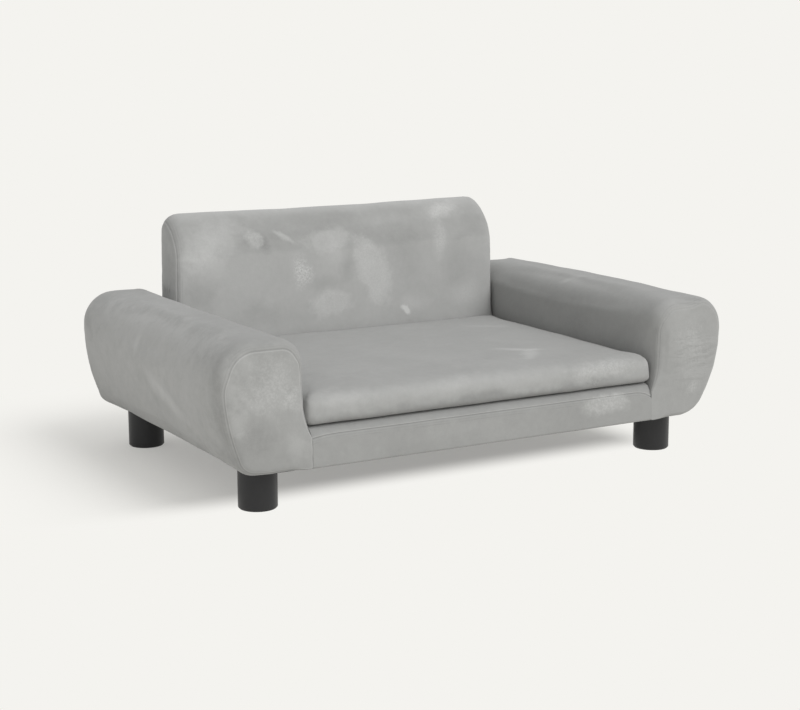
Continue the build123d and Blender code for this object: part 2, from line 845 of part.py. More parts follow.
with BuildPart() as back_bolts:
    add(rods(back_head_plane, back_bolt_row, BOLT_HEAD, BOLT_HEAD_TALL))
    add(
        rods(
            back_head_plane,
            back_bolt_row,
            FRAME_BOLT,
            back_head_face - back_core_rear - TEE_FLANGE_THICK,
        )
    )
save(back_bolts, "back_bolts")

back_tee_plane = Plane(origin=(0, back_core_rear, 0), x_dir=(-1, 0, 0), z_dir=(0, 1, 0))
back_tee_row = [(-x, z) for x, z in back_bolt_row]
save(tee_nuts(back_tee_plane, back_tee_row, FRAME_BOLT), "back_tee_nuts")
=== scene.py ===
"""A small velvet pet sofa: rolled arms, a padded backrest, a loose seat cushion, round legs."""

import json
from math import atan2, ceil, cos, degrees, pi, radians, sin, sqrt

import bmesh
import bpy
import numpy as np
from mathutils import Matrix, Vector, noise


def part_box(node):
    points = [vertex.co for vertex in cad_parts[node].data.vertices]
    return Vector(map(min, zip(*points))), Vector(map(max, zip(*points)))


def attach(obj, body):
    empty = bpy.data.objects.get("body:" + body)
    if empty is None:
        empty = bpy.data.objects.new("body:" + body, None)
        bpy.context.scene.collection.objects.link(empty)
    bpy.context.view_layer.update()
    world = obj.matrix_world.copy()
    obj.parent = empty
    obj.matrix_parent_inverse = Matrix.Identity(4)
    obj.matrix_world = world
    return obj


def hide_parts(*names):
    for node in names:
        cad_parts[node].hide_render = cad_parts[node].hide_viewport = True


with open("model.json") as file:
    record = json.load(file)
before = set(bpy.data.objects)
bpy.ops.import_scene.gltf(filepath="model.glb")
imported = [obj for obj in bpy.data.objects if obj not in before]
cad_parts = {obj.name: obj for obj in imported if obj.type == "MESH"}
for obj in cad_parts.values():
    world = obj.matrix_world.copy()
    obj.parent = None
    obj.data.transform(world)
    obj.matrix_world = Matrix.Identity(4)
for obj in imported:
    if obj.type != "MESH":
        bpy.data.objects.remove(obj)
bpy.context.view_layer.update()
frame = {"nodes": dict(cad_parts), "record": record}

# The solids that the padded pieces stand for
arm_low, arm_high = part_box("arm_right_cover")
box_low, box_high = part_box("box_cover")
back_low, back_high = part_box("back_cover")
cushion_low, cushion_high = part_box("seat_cushion_cover")
foot, front, underside = arm_low
side, rear, arm_top = arm_high
inner = back_high.x + 0.0003

# How the arms are cut. Sizes are in metres; a lap is how far round its rim a seam lies, in degrees
FLARE_TOP = 0.126
FLARE_LOW = 0.088
FLARE_LEAD = 0.015
OUTER_SHOULDER = 0.042
INNER_SHOULDER = 0.030
LEFT_BOW, LEFT_HEEL = 0.250, 0.025
RIGHT_BOW, RIGHT_HEEL = 0.160, 0.045
HEEL_RIM_SHARE = 0.75
FOOT_CORNER = 0.003
LEFT_RIM, RIGHT_RIM = 0.015, 0.019
LEFT_OUTER_RIM, RIGHT_OUTER_RIM = 0.015, 0.009
ARM_LOW_RIM = 0.008
FOOT_RIM = 0.0005
FOOT_STRIP = 0.02
SIDE_LAP = 48
TOP_LAP = 70
ARM_DOME = 0.003
ARM_MIDDLE = (0.285, 0.108)
ARM_CAP = 0.0025

# How the backrest is cut
BACK_ROLL = 0.060
BACK_REAR_ROLL = 0.015
BACK_TAPER = 0.0037
BACK_RIM = 0.013
BACK_CORNER = 0.021
BACK_REAR_RIM = 0.011
BACK_REAR_TURN = 60
BACK_LAP = 50
BACK_CAP = 0.002
BACK_PROUD = 0.0015
BACK_EASE, EASE_SIDE, EASE_FACE = 0.0015, 0.03, 0.006

# How the seat box is cut
BOX_TOP_ROLL = 0.013
BOX_LOW_ROLL = 0.003
BOX_SEAM = 0.0895
BOX_LEDGE = 0.0915
BOX_TUCK = 0.0008
BOX_SLOPE = 0.003
LEFT_DIP, RIGHT_DIP = 0.004, 0.009
LEFT_DIP_RUN, RIGHT_DIP_RUN = 0.036, 0.026
DIP_DEEP = 0.010

# How the seat cushion is cut
CUSHION_CORNER = 0.009
CUSHION_REAR_CORNER = 0.008
CUSHION_RIM = 0.0165
CUSHION_LOW_RIM_SHARE = 0.6
CUSHION_REAR_RIM = 0.007
CUSHION_CROWN = 0.003
CROWN_RUN = 0.070
CUSHION_START = 0.0002
CUSHION_CAP = 0.002
CUSHION_PROUD = 0.0012
OVERHANG = 0.0008
VOXEL = 0.004
ZIP_SLOT = (0.0060, 0.0072)

# How finely cloth is meshed, and how a sewn seam lies
STEP = 0.004
BODY_STEP = 0.007
FACE_ROWS = 12
INMOST_ROW = 0.06
FULL_RIM, LEAST_SCALE = 0.009, 0.15
SEAM_ROWS = (0.009, 0.006, 0.004, 0.0025, 0.0014, 0.0007, 0)
SIDE_ROWS = (0.013, 0.020)
GROOVE_DEEP = 0.00035
GROOVE_WIDE = 0.0008
PINCH_DEEP = 0.0005
PINCH_WIDE = 0.005
PUCKER_SIZE, PUCKER_HIGH, PUCKER_WIDE = 0.011, 0.0004, 0.016

# How cloth swells over its filling
PAD_PRESSURE, CUSHION_PRESSURE = 1.5, 4
SWELL_FRAMES = 20
SEAM_HOLD = 0.006


def smooth(value, low=0.0, high=1.0):
    """0 below low, 1 above high, and an easy curve between."""
    share = np.clip((value - low) / (high - low), 0, 1)
    return share * share * (3 - 2 * share)


# Outlines
def straight(start, end, rim=FOOT_RIM, lap=SIDE_LAP):
    """A straight stretch of an outline, with the rim and the seam's angle on it."""
    start, end = np.array(start), np.array(end)
    return lambda t: start + (end - start) * t, np.linalg.norm(end - start), rim, lap, 2


def bend(centre, radius, turn_from, turn_to, rim=FOOT_RIM, lap=SIDE_LAP):
    """A round stretch of an outline about a centre, between two angles in degrees."""

    def point(t):
        angle = radians(turn_from + (turn_to - turn_from) * t)
        return np.array(centre) + radius * np.array((cos(angle), sin(angle)))

    turn = abs(turn_to - turn_from)
    return point, radians(turn) * radius, rim, lap, ceil(turn / 15)


class Outline:
    """A closed outline, run through anticlockwise, with its outward normals."""

    def __init__(self, stretches, step=STEP, easing=0.010, middle=None):
        self.middle = middle
        points, rims, laps = [], [], []
        for point, length, rim, lap, least in stretches:
            count = max(least, round(length / step))
            points += [point(k / count) for k in range(count)]
            rims += [rim] * count
            laps += [radians(lap)] * count
        self.points = np.array(points)
        ahead = np.roll(self.points, -1, 0) - self.points
        behind = self.points - np.roll(self.points, 1, 0)
        run = np.linalg.norm(ahead, axis=1)
        around = np.concatenate(([0], np.cumsum(run)[:-1]))
        length = run.sum()
        along = ahead / run[:, None] + behind / np.linalg.norm(behind, axis=1)[:, None]
        along /= np.linalg.norm(along, axis=1)[:, None]
        self.normals = np.stack((along[:, 1], -along[:, 0]), 1)
        gap = np.abs(around[:, None] - around[None, :])
        gap = np.minimum(gap, length - gap)
        weight = np.exp(-((gap / easing) ** 2)) * (run + np.roll(run, 1))[None, :]
        weight /= weight.sum(1)[:, None]
        self.rims = weight @ np.array(rims)
        self.laps = weight @ np.array(laps)


def heel_start(bow, heel):
    """Where an arm's underside starts to turn up, as a distance from the sofa's middle."""
    rise = arm_top - OUTER_SHOULDER - underside - heel
    return side - bow + sqrt((bow - heel) ** 2 - rise**2)


def arm_outline(bow, heel, rim, outer_rim):
    """The arm's outline as seen from the front, for the arm on the right."""
    widest = arm_top - OUTER_SHOULDER
    rise = widest - underside - heel
    heel_x = heel_start(bow, heel)
    join = degrees(atan2(-rise, heel_x - side + bow))
    flare = ((inner - foot) ** 2 + (FLARE_TOP - FLARE_LOW) ** 2) / (2 * (inner - foot))
    flare_turn = degrees(atan2(FLARE_TOP - FLARE_LOW, flare - (inner - foot)))
    corner = (foot + FOOT_CORNER, underside + FOOT_CORNER)
    inner_centre = (inner + INNER_SHOULDER, arm_top - INNER_SHOULDER)
    flare_centre = (inner - flare, FLARE_TOP)
    lead = FLARE_TOP + FLARE_LEAD
    return Outline(
        [
            straight((corner[0], underside), (foot + FOOT_STRIP, underside)),
            straight((foot + FOOT_STRIP, underside), (heel_x, underside), ARM_LOW_RIM),
            bend((heel_x, underside + heel), heel, -90, join, outer_rim * HEEL_RIM_SHARE),
            bend((side - bow, widest), bow, join, 0, outer_rim),
            bend((side - OUTER_SHOULDER, widest), OUTER_SHOULDER, 0, 90, outer_rim, TOP_LAP),
            straight((side - OUTER_SHOULDER, arm_top), (inner_centre[0], arm_top), rim, TOP_LAP),
            bend(inner_centre, INNER_SHOULDER, 90, 180, rim, TOP_LAP),
            straight((inner, inner_centre[1]), (inner, lead), rim),
            straight((inner, lead), (inner, FLARE_TOP), rim * 0.8),
            bend(flare_centre, flare, 0, -flare_turn * 0.35, rim * 0.6),
            bend(flare_centre, flare, -flare_turn * 0.35, -flare_turn * 0.7, rim * 0.4),
            bend(flare_centre, flare, -flare_turn * 0.7, -flare_turn, rim * 0.2),
            straight((foot, FLARE_LOW), (foot, corner[1])),
            bend(corner, FOOT_CORNER, 180, 270),
        ],
        middle=ARM_MIDDLE,
    )


def back_outline():
    """The backrest's outline as seen from the right side, front to the left."""
    near, far, top = back_low.y, back_high.y, back_high.z
    low = underside + FOOT_CORNER
    roll, rear_roll = BACK_ROLL, BACK_REAR_ROLL
    past = far - rear_roll - near - roll
    lift = sqrt((roll - rear_roll) ** 2 - past**2)
    meet = degrees(atan2(lift, past))
    roll_z = top - rear_roll - lift
    rear_centre = (far - rear_roll, top - rear_roll)
    return Outline(
        [
            straight((near + FOOT_CORNER, underside), (far - FOOT_CORNER, underside)),
            bend((far - FOOT_CORNER, low), FOOT_CORNER, -90, 0),
            straight((far, low), (far, FLARE_LOW)),
            straight((far, FLARE_LOW), (far, top - rear_roll), BACK_REAR_RIM),
            bend(rear_centre, rear_roll, 0, BACK_REAR_TURN, BACK_REAR_RIM),
            bend(rear_centre, rear_roll, BACK_REAR_TURN, meet, BACK_RIM),
            bend((near + roll, roll_z), roll, meet, 180, BACK_RIM, BACK_LAP),
            straight((near, roll_z), (near, FLARE_TOP), BACK_RIM, BACK_LAP),
            straight((near, FLARE_TOP), (near, low)),
            bend((near + FOOT_CORNER, low), FOOT_CORNER, 180, 270),
        ]
    )


def box_outline():
    """The seat box's outline as seen from the right side, front to the left."""
    near, far, top = box_low.y, box_high.y, box_high.z
    top_roll, low_roll = BOX_TOP_ROLL, BOX_LOW_ROLL
    return Outline(
        [
            straight((near + low_roll, underside), (far, underside)),
            straight((far, underside), (far, top)),
            straight((far, top), (near + top_roll, top)),
            bend((near + top_roll, top - top_roll), top_roll, 90, 180),
            straight((near, top - top_roll), (near, underside + low_roll)),
            bend((near + low_roll, underside + low_roll), low_roll, 180, 270),
        ],
        step=0.0012,
    )


def cushion_outline():
    """The seat cushion's outline from above, a little small, because its cloth swells."""
    half = cushion_high.x - CUSHION_START
    near = cushion_low.y + CUSHION_START
    far = cushion_high.y - CUSHION_START
    corner, rear_corner = CUSHION_CORNER, CUSHION_REAR_CORNER
    return Outline(
        [
            straight((corner - half, near), (half - corner, near), CUSHION_RIM),
            bend((half - corner, near + corner), corner, -90, 0, CUSHION_RIM),
            straight((half, near + corner), (half, far - rear_corner), CUSHION_RIM),
            bend((half - rear_corner, far - rear_corner), rear_corner, 0, 90, CUSHION_REAR_RIM),
            straight((half - rear_corner, far), (rear_corner - half, far), CUSHION_REAR_RIM),
            bend((rear_corner - half, far - rear_corner), rear_corner, 90, 180, CUSHION_REAR_RIM),
            straight((-half, far - rear_corner), (-half, near + corner), CUSHION_RIM),
            bend((corner - half, near + corner), corner, 180, 270, CUSHION_RIM),
        ],
        step=0.005,
        easing=0.02,
    )


# Padded forms: an outline carried along an axis, with rounded rims and domed ends
def rim_rows(outline, seam, rim_share):
    """Rows from the end face over the rim to the side: how far in, how far back, off the seam."""
    rim = outline.rims * rim_share
    if not seam:
        return [
            (rim * (1 - cos(turn)), rim * (1 - sin(turn)), rim * (turn - pi / 4))
            for turn in np.linspace(pi / 2, 0, 8)
        ]
    sewn = outline.laps * rim
    scale = np.clip(rim / FULL_RIM, LEAST_SCALE, 1)
    rows = []
    for offset in SEAM_ROWS + tuple(-w for w in SEAM_ROWS[-2::-1] + SIDE_ROWS):
        along = sewn + offset * scale
        turn = np.clip(along / rim, 0, pi / 2)
        inset = rim * (1 - np.cos(turn)) + np.maximum(along - rim * pi / 2, 0)
        back = rim * (1 - np.sin(turn)) + np.maximum(-along, 0)
        rows.append((inset, back, offset * scale))
    return rows


def end_rows(outline, face, sign, dome, dome_run, seam, rim_share):
    """The middle of one end face, and rows from near it out to the side.

    Each is its place on the outline's plane, its place along the axis and its way to the seam.
    """
    rows = rim_rows(outline, seam, rim_share)
    edge = outline.points - rows[0][0][:, None] * outline.normals
    edge_off = rows[0][2]
    low, high = edge.min(0), edge.max(0)
    middle = (low + high) / 2 if outline.middle is None else np.array(outline.middle)
    reach = np.linalg.norm(edge - middle, axis=1)
    made = []
    for share in np.linspace(INMOST_ROW, 1, FACE_ROWS, endpoint=False):
        flat = middle + (edge - middle) * share
        rise = (smooth(flat - low, 0, dome_run) * smooth(high - flat, 0, dome_run)).prod(1)
        made.append((flat, -dome * rise, edge_off + reach * (1 - share)))
    for inset, back, off in rows:
        made.append((outline.points - inset[:, None] * outline.normals, back, off))
    tip = (middle, face(*middle) - sign * dome, edge_off.max() + reach.max())
    return [tip] + [
        (flat, face(flat[:, 0], flat[:, 1]) + sign * back, off) for flat, back, off in made
    ]


def add_object(name, data):
    """A new object in the scene."""
    made = bpy.data.objects.new(name, data)
    bpy.context.scene.collection.objects.link(made)
    return made


def new_piece(name, points, faces):
    """A smooth mesh, with its faces turned outwards."""
    mesh = bpy.data.meshes.new(name)
    mesh.from_pydata(points.tolist(), [], faces)
    work = bmesh.new()
    work.from_mesh(mesh)
    bmesh.ops.recalc_face_normals(work, faces=work.faces)
    work.to_mesh(mesh)
    work.free()
    mesh.shade_smooth()
    return add_object(name, mesh)


def grid_faces(rows, columns, across):
    """Faces between rows of points; across is columns where the rows close on themselves."""
    return [
        (low + k, low + (k + 1) % columns, low + columns + (k + 1) % columns, low + columns + k)
        for low in range(0, (rows - 1) * columns, columns)
        for k in range(across)
    ]


def padded_mesh(name, outline, faces_at, place, dome=0.0, dome_run=0.05, seam=True, low_rim=1.0):
    """A padded form between two end faces, with its distance from the seam on its points."""
    near = end_rows(outline, faces_at[0], 1, dome, dome_run, seam, low_rim)
    far = end_rows(outline, faces_at[1], -1, dome, dome_run, seam, 1.0)
    count = len(outline.points)
    (side_flat, near_c, near_off), far_c = near[-1], far[-1][1]
    length = np.mean(far_c - near_c)
    steps = max(2, round(length / BODY_STEP))
    body = [
        (side_flat, near_c + (far_c - near_c) * share, near_off - min(share, 1 - share) * length)
        for share in np.arange(1, steps) / steps
    ]
    rows = near[1:] + body + far[:0:-1]
    points = [place(flat[:, 0], flat[:, 1], np.broadcast_to(c, count)) for flat, c, _ in rows]
    for middle, c, _ in (near[0], far[0]):
        points.append(place(*(np.array([part]) for part in (*middle, c))))
    points = np.concatenate(points)
    offs = np.concatenate([off for _, _, off in rows] + [[near[0][2], far[0][2]]])
    faces = grid_faces(len(rows), count, count)
    base = (len(rows) - 1) * count
    for k in range(count):
        after = (k + 1) % count
        faces.append((after, k, len(points) - 2))
        faces.append((base + k, base + after, len(points) - 1))
    piece = new_piece(name, points, faces)
    set_values(piece, "seam", offs)
    return piece


def vectors(rows, title):
    """The vectors of that name in a mesh's rows."""
    found = np.zeros(len(rows) * 3)
    rows.foreach_get(title, found)
    return found.reshape(-1, 3)


def places(piece):
    """The places of a mesh's points."""
    return vectors(piece.data.vertices, "co")


def set_places(piece, co):
    """Moves a mesh's points to these places."""
    piece.data.vertices.foreach_set("co", np.asarray(co, np.float32).ravel())
    piece.data.update()


def outward(piece):
    """The outward directions at a mesh's points."""
    return vectors(piece.data.vertex_normals, "vector")


def values(piece, title):
    """A named value at each of a mesh's points."""
    found = np.zeros(len(piece.data.vertices), np.float32)
    piece.data.attributes[title].data.foreach_get("value", found)
    return found


def set_values(piece, title, given):
    """Stores a named value at each of a mesh's points."""
    kept = piece.data.attributes.get(title) or piece.data.attributes.new(title, "FLOAT", "POINT")
    kept.data.foreach_set("value", np.asarray(given, np.float32))


def ripple(co, size, seed):
    """A smooth random swell from -1 to 1 at each place, with waves of about that size."""
    shift = Vector((seed * 7.31, seed * 3.17, seed * 5.73))
    return np.array([noise.noise(Vector(p) / size + shift) for p in co.tolist()])


def swells(co, *waves):
    """The sum of random swells, each given as its size, height and seed."""
    return sum(ripple(co, size, seed) * high for size, high, seed in waves)


def sew(piece, seed, deep=1.0):
    """Presses the seam into a padded form, with the puckers that its stitching draws in."""
    co = places(piece)
    off = values(piece, "seam")
    groove = GROOVE_DEEP * np.exp(-((off / GROOVE_WIDE) ** 2))
    pinch = PINCH_DEEP * np.exp(-((off / PINCH_WIDE) ** 2))
    near = np.exp(-((off / PUCKER_WIDE) ** 2))
    pucker = ripple(co, PUCKER_SIZE, seed) * PUCKER_HIGH * near
    broad = swells(co, (0.06, 0.0007, seed + 1), (0.025, 0.00025, seed + 3))
    depth = deep * (groove + pinch * (1 + 0.5 * ripple(co, 0.02, seed + 2))) - pucker - broad
    set_places(piece, co - outward(piece) * depth[:, None])


def apply(piece, kind, **settings):
    """Adds a modifier with its settings and applies it."""
    modifier = piece.modifiers.new(kind.title(), kind)
    for title, value in settings.items():
        setattr(modifier, title, value)
    bpy.context.view_layer.objects.active = piece
    bpy.ops.object.modifier_apply(modifier=modifier.name)


def puff(piece, pressure, cap, held):
    """Lets the cover swell over its filling like cloth, by no more than cap at any point.

    held says how firmly each point stays where it is, from 0 to 1.
    """
    rest = places(piece)
    cloth = piece.modifiers.new("Swell", "CLOTH")
    cloth.settings.quality = 5
    cloth.settings.mass = 0.3
    cloth.settings.tension_stiffness = 15
    cloth.settings.compression_stiffness = 15
    cloth.settings.bending_stiffness = 0.5
    cloth.settings.use_pressure = True
    cloth.settings.uniform_pressure_force = pressure
    cloth.settings.effector_weights.gravity = 0
    group = piece.vertex_groups.new(name="held")
    step = 0.25
    for share in (0.25, 0.5, 0.75, 1.0):
        chosen = np.nonzero((held > share - step / 2) & (held <= share + step / 2))[0]
        group.add(chosen.tolist(), share, "REPLACE")
    cloth.settings.vertex_group_mass = "held"
    cloth.point_cache.frame_start = 1
    cloth.point_cache.frame_end = SWELL_FRAMES
    for number in range(1, SWELL_FRAMES + 1):
        bpy.context.scene.frame_set(number)
    moved = places(piece.evaluated_get(bpy.context.evaluated_depsgraph_get())) - rest
    far = np.linalg.norm(moved, axis=1)
    moved *= (np.minimum(far, cap) / np.maximum(far, 1e-9))[:, None]
    piece.modifiers.remove(cloth)
    piece.vertex_groups.clear()
    set_places(piece, rest + moved)
    bpy.context.scene.frame_set(1)


# Shader sockets
class Socket:
    """An output socket in a material that takes part in sums, and makes further nodes."""

    def __init__(self, tree, output=None):
        self.tree = tree
        self.output = output

    def make(self, kind, settings=None, inputs=None, output=0):
        """Adds a node: its settings first, then the values or links of its sockets."""
        node = self.tree.nodes.new(kind)
        for name, value in (settings or {}).items():
            setattr(node, name, value)
        for key, value in (inputs or {}).items():
            if isinstance(value, Socket):
                self.tree.links.new(value.output, node.inputs[key])
            else:
                node.inputs[key].default_value = value
        return Socket(self.tree, node.outputs[output] if node.outputs else None)

    def maths(self, operation, *others):
        """Adds a Math node."""
        return self.make("ShaderNodeMath", {"operation": operation}, dict(enumerate(others)))

    def __add__(self, other):
        return self.maths("ADD", self, other)

    __radd__ = __add__

    def __sub__(self, other):
        return self.maths("SUBTRACT", self, other)

    def __rsub__(self, other):
        return self.maths("SUBTRACT", other, self)

    def __mul__(self, other):
        return self.maths("MULTIPLY", self, other)

    __rmul__ = __mul__

    def __abs__(self):
        return self.maths("ABSOLUTE", self)

    def sine(self):
        return self.maths("SINE", self)

    def between(self, low, high):
        """0 at low and 1 at high, with an easy curve between."""
        inputs = {"Value": self, "From Min": low, "From Max": high}
        return self.make("ShaderNodeMapRange", {"interpolation_type": "SMOOTHSTEP"}, inputs)

    def part(self, axis):
        """One of a vector's three parts."""
        return self.make("ShaderNodeSeparateXYZ", None, {0: self}, "XYZ".index(axis))

    def moved(self, vector):
        """A vector with another added."""
        return self.make("ShaderNodeVectorMath", {"operation": "ADD"}, {0: self, 1: vector})

    def scaled(self, vector):
        """A vector with each part multiplied."""
        return self.make("ShaderNodeVectorMath", {"operation": "MULTIPLY"}, {0: self, 1: vector})

    def reach(self):
        """A vector's length."""
        return self.make("ShaderNodeVectorMath", {"operation": "LENGTH"}, {0: self}, "Value")

    def noise(self, scale, detail=3.0, roughness=0.5, output="Fac"):
        """Smooth noise at this place; scale is in waves a metre."""
        inputs = {"Vector": self, "Scale": scale, "Detail": detail, "Roughness": roughness}
        return self.make("ShaderNodeTexNoise", None, inputs, output)

    def ray(self, kind):
        """1 for rays of that kind, 0 for others."""
        return self.make("ShaderNodeLightPath", None, None, f"Is {kind} Ray")

    def shaken(self, scale, distance, detail=2.0):
        """A place moved about at random by up to that distance."""
        shake = self.noise(scale, detail, 0.6, "Color").moved((-0.5, -0.5, -0.5))
        return self.moved(shake.scaled((distance * 2,) * 3))


class Finish:
    """A material and the sockets that its surface takes."""

    def __init__(self, name):
        self.material = bpy.data.materials.new(name)
        self.material.use_nodes = True
        self.tree = self.material.node_tree
        self.tree.nodes.clear()
        self.start = Socket(self.tree)
        self.place = self.start.make("ShaderNodeTexCoord", None, None, "Object")

    def value(self, title):
        """A named value on the mesh's points."""
        return self.start.make("ShaderNodeAttribute", {"attribute_name": title}, None, "Fac")

    def tint(self, dark, light, share):
        """A colour between two, by a share."""
        settings = {"data_type": "RGBA", "clamp_factor": True}
        inputs = {0: share, 6: (*dark, 1), 7: (*light, 1)}
        return self.start.make("ShaderNodeMix", settings, inputs, 2)

    def bump(self, height, distance, strength=1.0):
        """The surface's direction with that height pressed into it."""
        inputs = {"Height": height, "Distance": distance, "Strength": strength}
        return self.start.make("ShaderNodeBump", None, inputs)

    def surface(self, **sockets):
        """Closes the material with a plain surface of these sockets."""
        names = {}
        for key, value in sockets.items():
            names[key.replace("_", " ").title().replace("Ior", "IOR")] = value
        shader = self.start.make("ShaderNodeBsdfPrincipled", None, names)
        self.start.make("ShaderNodeOutputMaterial", None, {"Surface": shader})
        return self.material


# Velvet
VELVET_DARK = (0.200, 0.201, 0.194)
VELVET_LIGHT = (0.640, 0.642, 0.630)
FRAY_SHARE = 1.2


class Patch:
    """Pile brushed another way, or painted light or shade, in millimetres and degrees, and how much
    lighter it looks.

    crushed is how grainy it is, and edge how far out its middle part reaches.
    """

    def __init__(self, middle, half, lighter, turn=(0, 0, 0), crushed=0.12, edge=0.1):
        self.middle = tuple(part / 1000 for part in middle)
        self.half = tuple(part / 1000 * FRAY_SHARE for part in half)
        self.turn = tuple(radians(part) for part in turn)
        self.lighter = lighter
        self.crushed = crushed
        self.edge = edge

    def cover(self, place, fray=0):
        """1 inside the patch and 0 outside it, with its edge moved in and out by fray."""
        inputs = {0: place, 1: self.middle, 2: self.turn, 3: self.half}
        spot = place.make("ShaderNodeMapping", {"vector_type": "TEXTURE"}, inputs)
        return 1 - (spot.reach() + fray).between(self.edge, 1)


def upright(x, z, half_x, half_z, tilt, lighter, y=150, deep=45, **more):
    """A patch on a face that looks forwards, leaning over to the right by tilt."""
    return Patch((x, y, z), (half_x, deep, half_z), lighter, (0, tilt, 0), **more)


def on_top(x, y, half_x, half_y, tilt, lighter, z=137, **more):
    """A patch on a face that looks up, turned clockwise as seen from above by tilt."""
    return Patch((x, y, z), (half_x, half_y, 12), lighter, (0, 0, -tilt), **more)


def velvet(name, shade=0.5, cloud=0.3, patches=(), creases=(), line=None, roll_painted_shade=0.0):
    """Short grey pile, brushed lighter and darker, with painted shade and painted highlights.

    line is how dark the painted shade in its seams is, beside a painted highlight, and the roll
    shade is how much painted shade darkens the colour where the cloth faces up as it rolls over a
    top edge.
    """
    finish = Finish(name)
    place = finish.place
    warped = place.shaken(20, 0.012, 3).shaken(110, 0.0028, 3)
    cloudy = place.shaken(7, 0.05).noise(13, 5, 0.62)
    fine = place.noise(120, 5, 0.72)
    frayed = place.noise(48, 5, 0.75)
    grain = place.shaken(180, 0.002).noise(380, 3, 0.65).between(0.35, 0.68)
    tone = shade + (cloudy - 0.5) * cloud + (fine - 0.5) * 0.14
    fray = (frayed - 0.5) * 1.3
    stroke = (frayed - 0.5) * 1.4 + 1.0
    for patch in patches:
        speckle = stroke * (1 - patch.crushed) + grain * (patch.crushed * 2)
        tone = tone + patch.cover(warped, fray) * speckle * patch.lighter
    # Painted shade: the colour darkens where the cloth faces up as it rolls over a top edge, where
    # the light falls brighter
    if roll_painted_shade:
        upward = finish.start.make("ShaderNodeTexCoord", None, None, "Normal").part("Z")
        upward = upward.maths("MAXIMUM", upward, 0)
        tone = tone - upward * (1 - upward) * (4 * roll_painted_shade)
    height = place.noise(900, 3, 0.7) * 0.25 + place.noise(150, 4, 0.6) * 0.8 + grain * 0.12
    for crease in creases:
        lines = place.shaken(40, 0.004).scaled((26, 26, 260)).noise(1.0, 2, 0.5).between(0.35, 0.6)
        held = crease.cover(warped, fray)
        height = height + held * lines * 0.9
        # Painted shade along the creases, following their bump
        tone = tone + held * (lines - 0.6) * 0.08
    if line is not None:
        # Painted shade in the seam's groove and in the fine creases beside it, and a painted
        # highlight on the rim just past the seam; the groove and creases also press into the bump
        off = finish.value("seam")
        sunk_groove_shade = 1 - abs(off).between(0.0002, 0.0013)
        lit = 1 - abs(off - 0.0017).between(0, 0.0012)
        broken = place.noise(34, 2).between(0.42, 0.58)
        first = 1 - abs(off + 0.0034).between(0, 0.0009)
        second = 1 - abs(off + 0.0064).between(0, 0.0010)
        rumple_crease_shade = first * 0.8 + second * broken
        tone = tone - sunk_groove_shade * line + lit * (line * 1.4) - rumple_crease_shade * 0.05
        height = height - rumple_crease_shade * 0.7 - sunk_groove_shade * 0.6
    return finish.surface(
        base_color=finish.tint(VELVET_DARK, VELVET_LIGHT, tone),
        roughness=0.9,
        sheen_weight=0.2,
        sheen_roughness=0.5,
        specular_ior_level=0.12,
        normal=finish.bump(height, 0.0006, 0.4),
    )


# Padded pieces
def level(value):
    """An end face that lies square to its axis."""
    return lambda a, b: np.full(np.shape(a), value)


def dress(piece, body, slot, finish, *stands_for):
    """Sets a piece's finish, what it rides on and the solids that it stands for; its slot is not
    used.
    """
    piece.data.materials.clear()
    piece.data.materials.append(finish)
    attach(piece, body)
    if stands_for:
        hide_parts(*stands_for)


def seam_hold(piece):
    """How firmly a padded form's seams hold each point."""
    return np.exp(-((values(piece, "seam") / SEAM_HOLD) ** 2))


def make_arm(which, sign, outline, deep, seed, finish):
    """One arm, whose swelling stops at the seat, the backrest and the dust sheet."""
    piece = padded_mesh(
        f"arm_{which}",
        outline,
        (level(front), level(rear)),
        lambda a, b, c: np.stack((sign * a, c, b), 1),
        dome=ARM_DOME,
    )
    begun = places(piece)
    begun_out = np.abs(begun[:, 0])
    held = np.where(begun_out < foot + 0.002, 1, seam_hold(piece))
    puff(piece, PAD_PRESSURE, ARM_CAP, held)
    sew(piece, seed, deep)
    co = places(piece)
    out = np.abs(co[:, 0])
    on_inside = begun_out < inner + 0.004
    co[:, 0] = sign * np.where(on_inside, np.maximum(out, begun_out), out)
    co[:, 2] = np.maximum(co[:, 2], underside)
    set_places(piece, co)
    dress(piece, "sofa", "velvet", finish, f"arm_{which}_cover", f"arm_{which}_foam")


def back_half(a, b):
    """Half the backrest's width at a height."""
    low, wide = foot - 0.0003, back_high.x
    flare = low + (wide - low) * smooth(b, FLARE_LOW, FLARE_TOP)
    return flare - BACK_TAPER * np.clip((b - FLARE_TOP) / (back_high.z - FLARE_TOP), 0, 1)


def corner_drop(past, radius):
    """How far a round corner drops, a distance past its start."""
    past = np.clip(past, 0, radius)
    return radius - np.sqrt(radius**2 - past**2)


